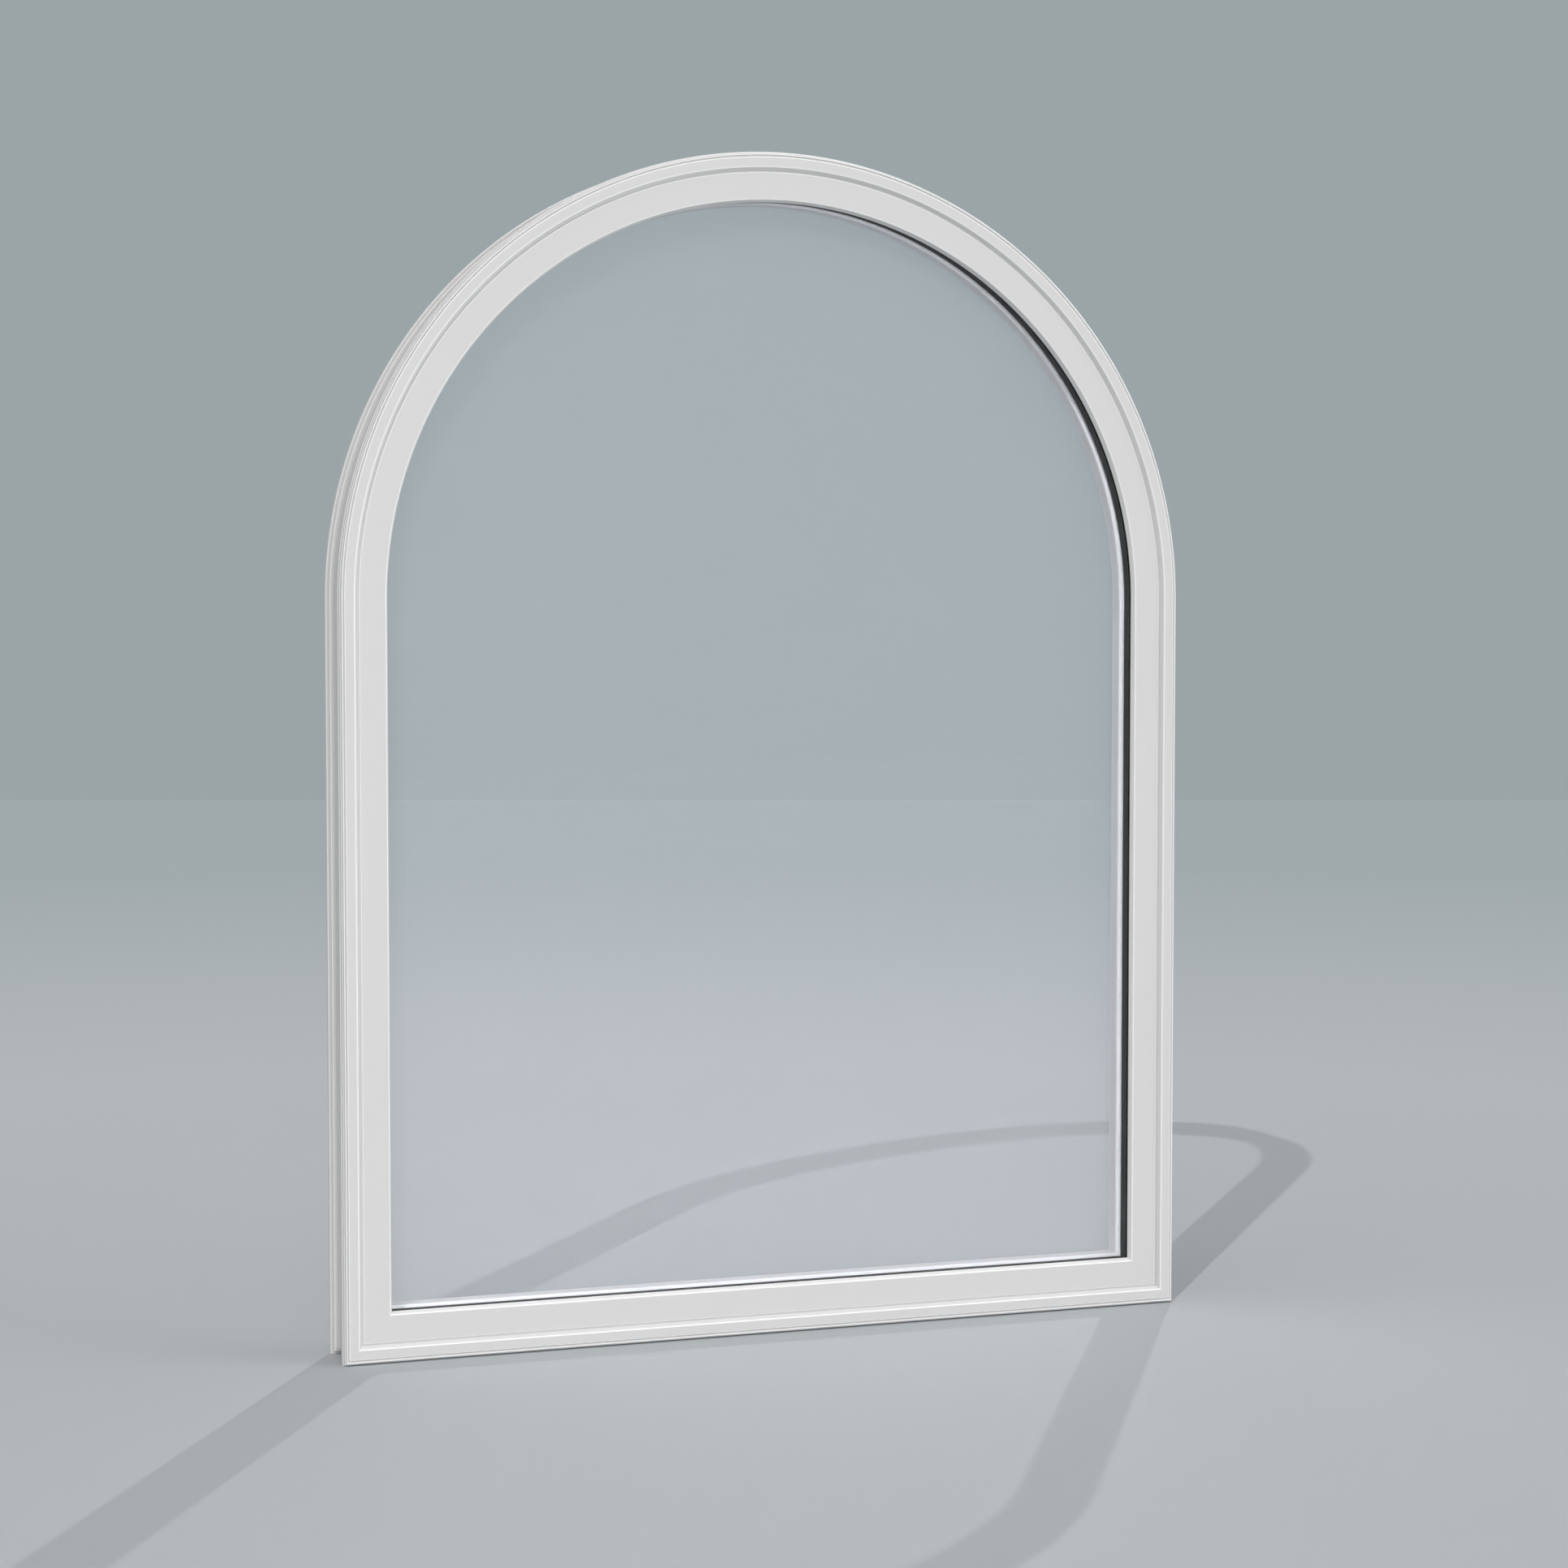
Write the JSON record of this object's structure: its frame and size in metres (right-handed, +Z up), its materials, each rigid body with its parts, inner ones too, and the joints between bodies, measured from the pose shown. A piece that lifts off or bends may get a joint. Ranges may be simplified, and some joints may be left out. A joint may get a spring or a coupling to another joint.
{
  "type": "arched-top fixed window",
  "caption": "Fixed window with a semicircular top: hollow white vinyl frame with a stepped face, mitred sill corners, sealed double glazing, glazing beads and gaskets.",
  "frame": {"origin": "under the middle of the sill, half way through the depth of the frame, on the surface it stands on", "axes": "+X along the sill to the right as seen from outdoors, +Y into the room, +Z up"},
  "size_m": [0.9, 0.07, 1.1999],
  "materials": {
    "white_vinyl": "satin extruded vinyl",
    "glass": "clear float glass",
    "black_spacer": "matt warm-edge spacer",
    "black_rubber": "matt sealant and gasket",
    "pale_rubber": "matt gasket",
    "block_rubber": "matt setting block"
  },
  "bodies": {
    "root": {"frame_sill": "white_vinyl", "frame_left_jamb": "white_vinyl", "frame_right_jamb": "white_vinyl", "frame_arch_head": "white_vinyl", "outer_pane": "glass", "inner_pane": "glass", "spacer": "black_spacer", "edge_seal": "black_rubber", "outer_gasket_sill": "black_rubber", "outer_gasket_left": "black_rubber", "outer_gasket_right": "black_rubber", "outer_gasket_arch": "black_rubber", "inner_gasket_sill": "pale_rubber", "inner_gasket_left": "pale_rubber", "inner_gasket_right": "pale_rubber", "inner_gasket_arch": "pale_rubber", "bead_sill": "white_vinyl", "bead_left": "white_vinyl", "bead_right": "white_vinyl", "bead_arch": "white_vinyl", "left_setting_block": "block_rubber", "right_setting_block": "block_rubber"}
  },
  "joints": []
}
